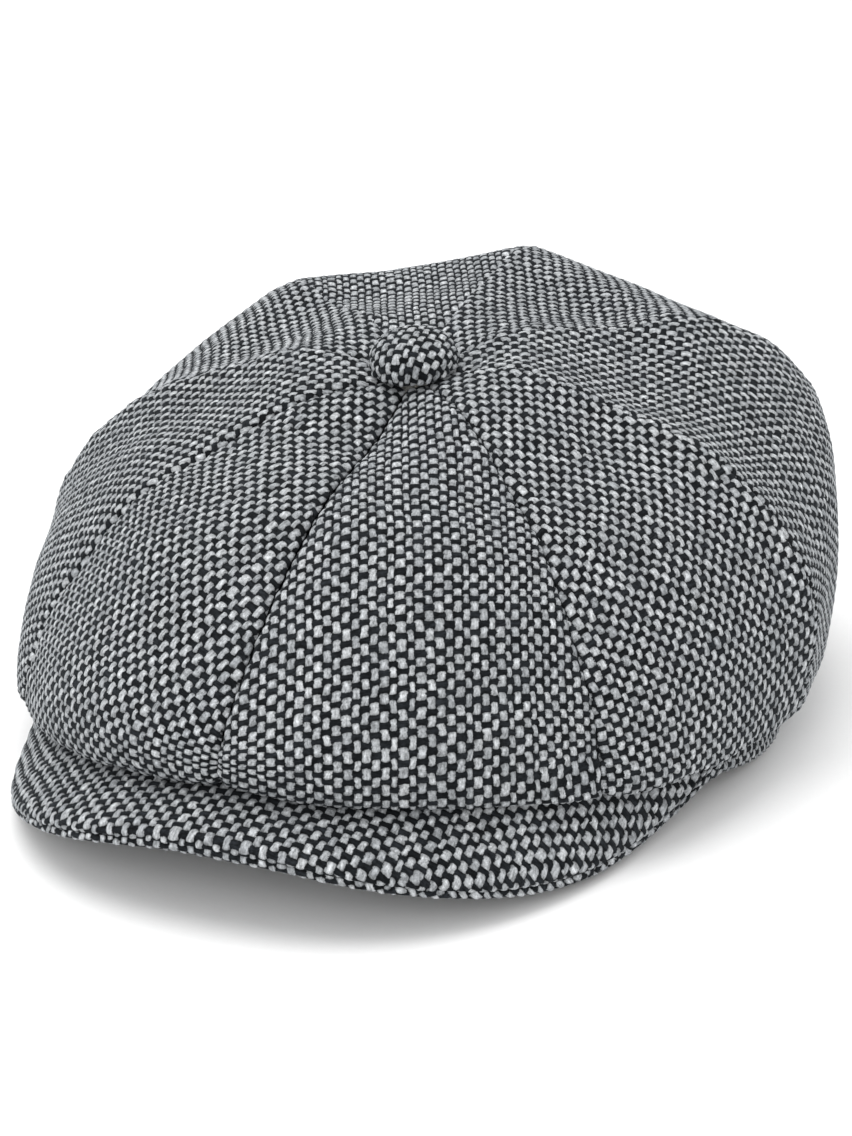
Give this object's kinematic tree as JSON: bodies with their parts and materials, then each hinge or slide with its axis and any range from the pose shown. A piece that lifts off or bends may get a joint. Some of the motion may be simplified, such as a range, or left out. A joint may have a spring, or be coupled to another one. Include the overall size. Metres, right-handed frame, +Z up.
{
  "type": "newsboy cap",
  "caption": "Soft eight-panel newsboy cap in salt-and-pepper tweed, with a short curved peak, a covered top button, a satin lining and a sweatband.",
  "frame": {"origin": "on the surface the cap rests on, straight below the crown button", "axes": "+Z up, -Y out of the front over the peak, +X towards the wearer's left"},
  "size_m": [0.2086, 0.2569, 0.1071],
  "materials": {
    "tweed": "salt-and-pepper wool tweed, basket-like plain weave",
    "lining_satin": "black satin",
    "sweatband_twill": "black cotton twill",
    "interlining_felt": "white needled interlining",
    "board": "white stiffener board",
    "button_metal": "tinned steel",
    "label_satin": "blank woven label"
  },
  "bodies": {
    "cap": {"crown_panel_front_left": "tweed", "crown_panel_side_front_left": "tweed", "crown_panel_side_back_left": "tweed", "crown_panel_back_left": "tweed", "crown_panel_back_right": "tweed", "crown_panel_side_back_right": "tweed", "crown_panel_side_front_right": "tweed", "crown_panel_front_right": "tweed", "lining_panel_front_left": "lining_satin", "lining_panel_side_front_left": "lining_satin", "lining_panel_side_back_left": "lining_satin", "lining_panel_back_left": "lining_satin", "lining_panel_back_right": "lining_satin", "lining_panel_side_back_right": "lining_satin", "lining_panel_side_front_right": "lining_satin", "lining_panel_front_right": "lining_satin", "outer_band": "tweed", "sweatband_interlining": "interlining_felt", "sweatband": "sweatband_twill", "blank_label": "label_satin"},
    "peak": {"peak_under_cover": "tweed", "peak_board": "board", "peak_top_cover": "tweed"},
    "button": {"button_cover": "tweed", "button_shell": "button_metal", "button_back_plate": "button_metal", "button_shank": "button_metal", "button_washer": "button_metal"}
  },
  "joints": [
    {"name": "peak_flex", "type": "hinge", "parent": "cap", "child": "peak", "pos_m": [0, -0.03, 0.0075], "axis": [1, 0, 0], "range_deg": [0, 8], "stiffness_Nm_per_rad": 0.6},
    {"name": "button_swivel", "type": "hinge", "parent": "cap", "child": "button", "pos_m": [0, -0.0006, 0.0934], "axis": [0, -0.2756, 0.9613], "range_deg": [-15, 15]}
  ]
}
